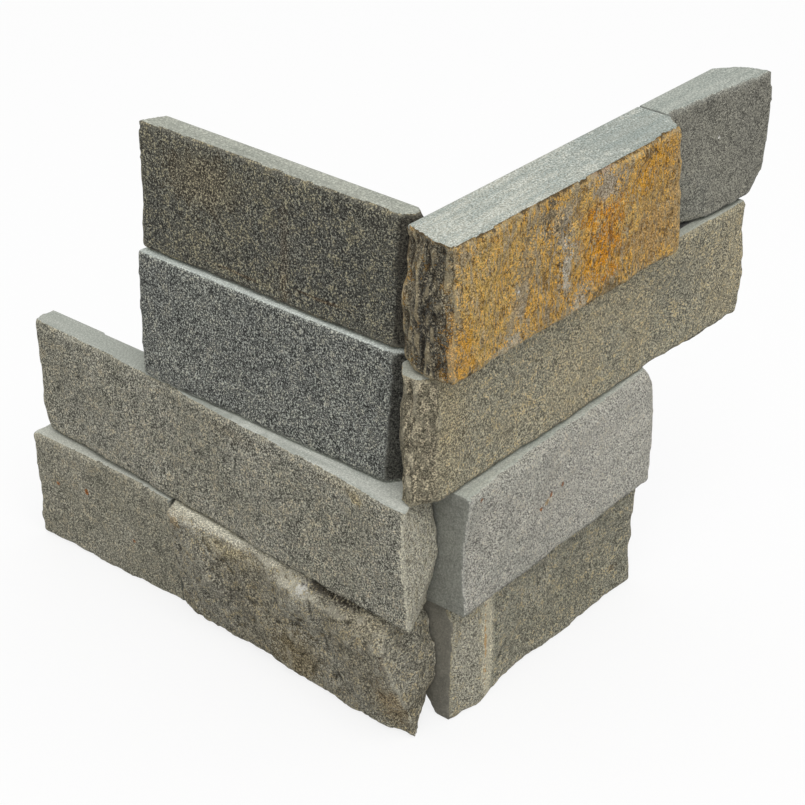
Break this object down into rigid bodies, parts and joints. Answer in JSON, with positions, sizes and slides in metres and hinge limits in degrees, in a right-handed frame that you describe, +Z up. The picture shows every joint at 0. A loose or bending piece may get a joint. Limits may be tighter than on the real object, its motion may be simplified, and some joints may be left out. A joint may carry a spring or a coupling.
{
  "type": "stacked stone panel",
  "caption": "Outside corner of stacked stone cladding: sawn strips with split faces, glued in four interlocking courses on two wings at a right angle.",
  "frame": {"origin": "foot of the wall's own corner: where the two wall planes meet the bed of the lowest course", "axes": "+Z up the corner; +X along the right wing, away from the corner; +Y along the left wing, away from the corner"},
  "size_m": [0.1585, 0.163, 0.15],
  "materials": {
    "dark_stone": "rough",
    "blue_stone": "rough",
    "grey_stone": "rough",
    "brown_stone": "rough",
    "rust_stone": "rough",
    "olive_stone": "rough",
    "lilac_stone": "rough",
    "adhesive": "matt"
  },
  "bodies": {
    "root": {"left_top_stone": "dark_stone", "left_third_stone": "blue_stone", "left_second_stone": "grey_stone", "left_base_outer_stone": "grey_stone", "left_base_corner_stone": "brown_stone", "right_top_corner_stone": "rust_stone", "right_top_outer_stone": "blue_stone", "right_third_stone": "olive_stone", "right_second_stone": "lilac_stone", "right_base_stone": "olive_stone", "adhesive_left_base_bed": "adhesive", "adhesive_left_second_bed": "adhesive", "adhesive_left_third_bed": "adhesive", "adhesive_right_base_bed": "adhesive", "adhesive_right_second_bed": "adhesive", "adhesive_right_third_bed": "adhesive", "adhesive_left_base_head": "adhesive", "adhesive_right_top_head": "adhesive", "adhesive_base_corner": "adhesive", "adhesive_second_corner": "adhesive", "adhesive_third_corner": "adhesive", "adhesive_top_corner": "adhesive"}
  },
  "joints": []
}
